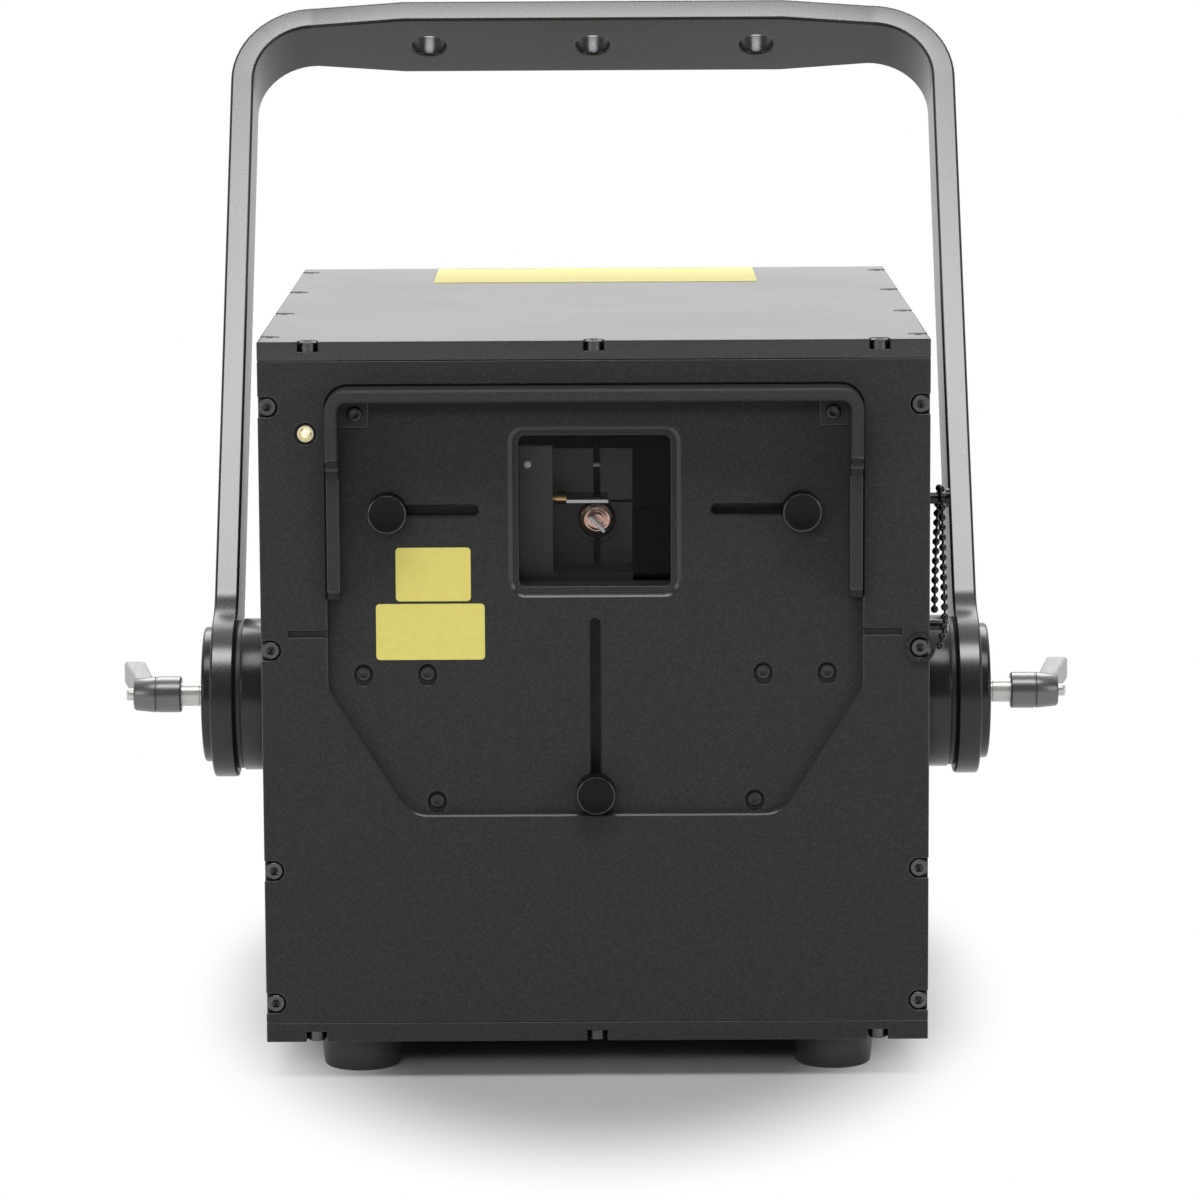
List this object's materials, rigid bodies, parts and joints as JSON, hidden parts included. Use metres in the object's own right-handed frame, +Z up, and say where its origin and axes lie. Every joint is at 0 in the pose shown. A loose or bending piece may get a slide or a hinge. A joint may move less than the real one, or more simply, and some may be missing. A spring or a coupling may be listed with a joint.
{
  "type": "laser show projector",
  "caption": "Black plate-built laser show projector with a tilting hanging yoke, clamping levers, a hooded window, sliding beam masks and rubber feet.",
  "frame": {"origin": "middle of the base on the surface that the feet stand on, with the chain left out", "axes": "+Z up, -Y out of the front panel's window, +X to the right seen from the front"},
  "size_m": [0.3224, 0.3059, 0.3243],
  "materials": {
    "case_black": "satin black anodised",
    "yoke_black": "satin black",
    "blade_black": "matt black anodised",
    "pane": "clear",
    "knob_black": "satin",
    "lamp_metal": "polished",
    "lamp_lens": "clear",
    "foot_rubber": "matt",
    "screw_steel": "black oxide",
    "pale_steel": "bright zinc",
    "lever_black": "satin",
    "lever_pale": "satin",
    "bare_aluminium": "milled",
    "galvo_copper": "satin",
    "mirror_coat": "coated",
    "laser_black": "anodised",
    "board_green": "solder mask",
    "fitting_black": "moulded",
    "fitting_steel": "plated"
  },
  "bodies": {
    "housing": {"front_panel": "case_black", "aperture_hood": "case_black", "top_plate": "case_black", "bottom_plate": "case_black", "left_side_panel": "case_black", "right_side_panel": "case_black", "rear_panel": "case_black", "mask_cover": "case_black", "pivot_flanges": "case_black", "aperture_glass": "pane", "lamp_bezel": "lamp_metal", "lamp_lens": "lamp_lens", "feet": "foot_rubber", "friction_discs": "foot_rubber", "case_screws": "screw_steel", "foot_screws": "screw_steel", "flat_screws": "pale_steel", "chain_ring": "pale_steel", "chain_pegs": "pale_steel", "bead_chain": "pale_steel", "scanner_block": "bare_aluminium", "optical_bench": "bare_aluminium", "bench_posts": "bare_aluminium", "power_supply": "bare_aluminium", "scanner_driver": "bare_aluminium", "x_galvo": "galvo_copper", "y_galvo": "galvo_copper", "red_laser": "laser_black", "green_laser": "laser_black", "blue_laser": "laser_black", "beam_mirrors": "laser_black", "control_board": "board_green", "fan_frame": "fitting_black", "mains_inlet": "fitting_black", "interlock_socket": "fitting_black", "signal_sockets": "fitting_steel", "key_barrel": "fitting_steel"},
    "yoke": {"yoke": "yoke_black", "outer_washers": "yoke_black"},
    "left_lever": {"left_stud": "pale_steel", "left_lever_hub": "lever_black", "left_lever_arm": "lever_pale"},
    "right_lever": {"right_stud": "pale_steel", "right_lever_hub": "lever_black", "right_lever_arm": "lever_pale"},
    "left_mask": {"left_mask_blade": "blade_black"},
    "right_mask": {"right_mask_blade": "blade_black"},
    "bottom_mask": {"bottom_mask_blade": "blade_black"},
    "left_knob": {"left_knob": "knob_black"},
    "right_knob": {"right_knob": "knob_black"},
    "bottom_knob": {"bottom_knob": "knob_black"},
    "x_mirror": {"x_mirror": "mirror_coat"},
    "y_mirror": {"y_mirror": "mirror_coat"},
    "fan_rotor": {"fan_rotor": "fitting_black"},
    "key": {"key": "fitting_steel"}
  },
  "joints": [
    {"name": "yoke_tilt", "type": "hinge", "parent": "housing", "child": "yoke", "pos_m": [0, -0.00695, 0.099], "axis": [1, 0, 0], "continuous": true},
    {"name": "left_lever_turn", "type": "hinge", "parent": "housing", "child": "left_lever", "pos_m": [-0.138, -0.00695, 0.099], "axis": [1, 0, 0], "continuous": true},
    {"name": "right_lever_turn", "type": "hinge", "parent": "housing", "child": "right_lever", "pos_m": [0.138, -0.00695, 0.099], "axis": [1, 0, 0], "continuous": true},
    {"name": "left_mask_slide", "type": "slide", "parent": "housing", "child": "left_mask", "axis": [1, 0, 0], "range_m": [0, 0.026]},
    {"name": "right_mask_slide", "type": "slide", "parent": "housing", "child": "right_mask", "axis": [-1, 0, 0], "range_m": [0, 0.026]},
    {"name": "bottom_mask_slide", "type": "slide", "parent": "housing", "child": "bottom_mask", "axis": [0, 0, 1], "range_m": [0, 0.052]},
    {"name": "left_knob_turn", "type": "hinge", "parent": "left_mask", "child": "left_knob", "pos_m": [-0.0633, -0.13695, 0.1774], "axis": [0, -1, 0], "range_deg": [0, 180]},
    {"name": "right_knob_turn", "type": "hinge", "parent": "right_mask", "child": "right_knob", "pos_m": [0.0633, -0.13695, 0.1774], "axis": [0, -1, 0], "range_deg": [0, 180]},
    {"name": "bottom_knob_turn", "type": "hinge", "parent": "bottom_mask", "child": "bottom_knob", "pos_m": [0, -0.13695, 0.09], "axis": [0, -1, 0], "range_deg": [0, 180]},
    {"name": "x_mirror_scan", "type": "hinge", "parent": "housing", "child": "x_mirror", "pos_m": [0.0007, -0.09595, 0.169], "axis": [0, 1, 0], "range_deg": [-12, 12]},
    {"name": "y_mirror_scan", "type": "hinge", "parent": "housing", "child": "y_mirror", "pos_m": [-0.013, -0.10595, 0.1773], "axis": [1, 0, 0], "range_deg": [-12, 12]},
    {"name": "fan_spin", "type": "hinge", "parent": "housing", "child": "fan_rotor", "pos_m": [-0.0545, 0.10505, 0.073], "axis": [0, 1, 0], "continuous": true},
    {"name": "key_turn", "type": "hinge", "parent": "housing", "child": "key", "pos_m": [0.062, 0.12105, 0.178], "axis": [0, -1, 0], "range_deg": [0, 90]}
  ]
}
